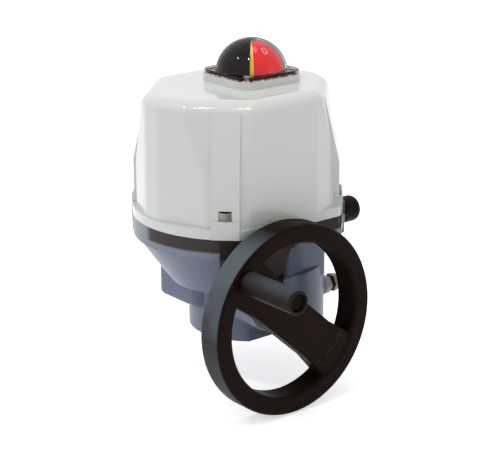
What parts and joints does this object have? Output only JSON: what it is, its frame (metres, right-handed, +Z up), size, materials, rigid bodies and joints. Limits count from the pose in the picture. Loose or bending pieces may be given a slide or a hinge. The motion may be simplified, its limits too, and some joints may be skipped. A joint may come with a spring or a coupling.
{
  "type": "electric valve actuator",
  "caption": "Quarter-turn electric valve actuator with a domed position indicator, a hand drive wheel with crank handle, a bolted valve flange and side cable glands.",
  "frame": {"origin": "on the output axis, in the face of the valve flange", "axes": "+Z up along the output axis, -Y towards the handwheel, +X towards the cable glands"},
  "size_m": [0.2349, 0.2613, 0.3278],
  "materials": {
    "base_paint": "blue-grey paint, satin",
    "cover_paint": "light grey paint, gloss",
    "bright_steel": "plain bright steel",
    "dark_steel": "blackened steel",
    "machined_steel": "turned and ground",
    "bronze": "machined bronze",
    "gear_plastic": "natural moulded plastic",
    "seal_rubber": "black rubber",
    "clear_dome": "clear moulded plastic",
    "black_mask": "black moulded plastic",
    "red_sector": "red moulded plastic",
    "yellow_sector": "yellow moulded plastic",
    "black_plastic": "black moulded plastic",
    "wheel_paint": "black coated casting, satin",
    "handle_plastic": "black moulded plastic",
    "pin_steel": "plain steel",
    "sheet_metal": "zinc plated sheet",
    "lid_metal": "machined casting",
    "motor_metal": "plated can",
    "board_green": "coated board",
    "terminal_grey": "moulded plastic",
    "component_black": "moulded plastic",
    "heater_metal": "plain casting"
  },
  "bodies": {
    "root": {"base_housing": "base_paint", "cover": "cover_paint", "cover_seal": "seal_rubber", "cover_screws": "bright_steel", "indicator_dome": "clear_dome", "dome_seal": "seal_rubber", "dome_screws": "bright_steel", "indicator_mask": "black_mask", "lower_bush": "bronze", "output_seal": "seal_rubber", "upper_bush": "bronze", "spindle_bush": "bronze", "gearbox_lid": "lid_metal", "lid_screws": "dark_steel", "front_bearing": "machined_steel", "rear_bearing": "machined_steel", "shaft_seal": "seal_rubber", "idler_axles": "dark_steel", "axle_clips": "dark_steel", "gear_plate": "sheet_metal", "gearmotor": "motor_metal", "motor_screws": "dark_steel", "end_stop_bolts": "bright_steel", "end_stop_nuts": "bright_steel", "gland_bodies": "black_plastic", "gland_nuts": "black_plastic", "gland_seals": "seal_rubber", "microswitches": "black_plastic", "switch_bracket": "sheet_metal", "board_bracket": "sheet_metal", "foot_screws": "dark_steel", "board_spacers": "sheet_metal", "control_board": "board_green", "terminal_block": "terminal_grey", "board_parts": "component_black", "heater": "heater_metal", "earth_screw": "bright_steel"},
    "output": {"output_shaft": "machined_steel", "worm_wheel": "bronze", "stop_arm": "machined_steel", "switch_cams": "gear_plastic", "indicator_hub": "black_plastic", "indicator_red": "red_sector", "indicator_yellow": "yellow_sector"},
    "worm": {"worm_shaft": "machined_steel", "shaft_gear": "machined_steel", "handwheel": "wheel_paint", "wheel_pin": "dark_steel", "handle_pin": "pin_steel"},
    "handle": {"handle_grip": "handle_plastic"},
    "lower_idler": {"lower_idler_gear": "gear_plastic"},
    "upper_idler": {"upper_idler_gear": "gear_plastic"},
    "motor_drive": {"motor_pinion": "machined_steel"}
  },
  "joints": [
    {"name": "handwheel_turn", "type": "hinge", "parent": "root", "child": "worm", "pos_m": [-0.042, -0.09, 0.0405], "axis": [0, -1, 0], "range_deg": [0, 3420]},
    {"name": "output_turn", "type": "hinge", "parent": "root", "child": "output", "pos_m": [0, 0, 0], "axis": [0, 0, 1], "range_deg": [0, 90]},
    {"name": "handle_spin", "type": "hinge", "parent": "worm", "child": "handle", "pos_m": [-0.09625, -0.144, 0.08935], "axis": [0, -1, 0], "continuous": true},
    {"name": "lower_idler_spin", "type": "hinge", "parent": "root", "child": "lower_idler", "pos_m": [-0.042, 0.047, 0.0705], "axis": [0, -1, 0], "range_deg": [-1710, 0]},
    {"name": "upper_idler_spin", "type": "hinge", "parent": "root", "child": "upper_idler", "pos_m": [-0.042, 0.047, 0.1105], "axis": [0, -1, 0], "range_deg": [0, 1710]},
    {"name": "motor_spin", "type": "hinge", "parent": "root", "child": "motor_drive", "pos_m": [-0.042, 0.047, 0.1405], "axis": [0, -1, 0], "range_deg": [-3420, 0]}
  ],
  "couplings": [
    {"joint": "output_turn", "follows": "handwheel_turn", "ratio": 0.026316},
    {"joint": "lower_idler_spin", "follows": "handwheel_turn", "ratio": -0.5},
    {"joint": "upper_idler_spin", "follows": "handwheel_turn", "ratio": 0.5},
    {"joint": "motor_spin", "follows": "handwheel_turn", "ratio": -1}
  ]
}
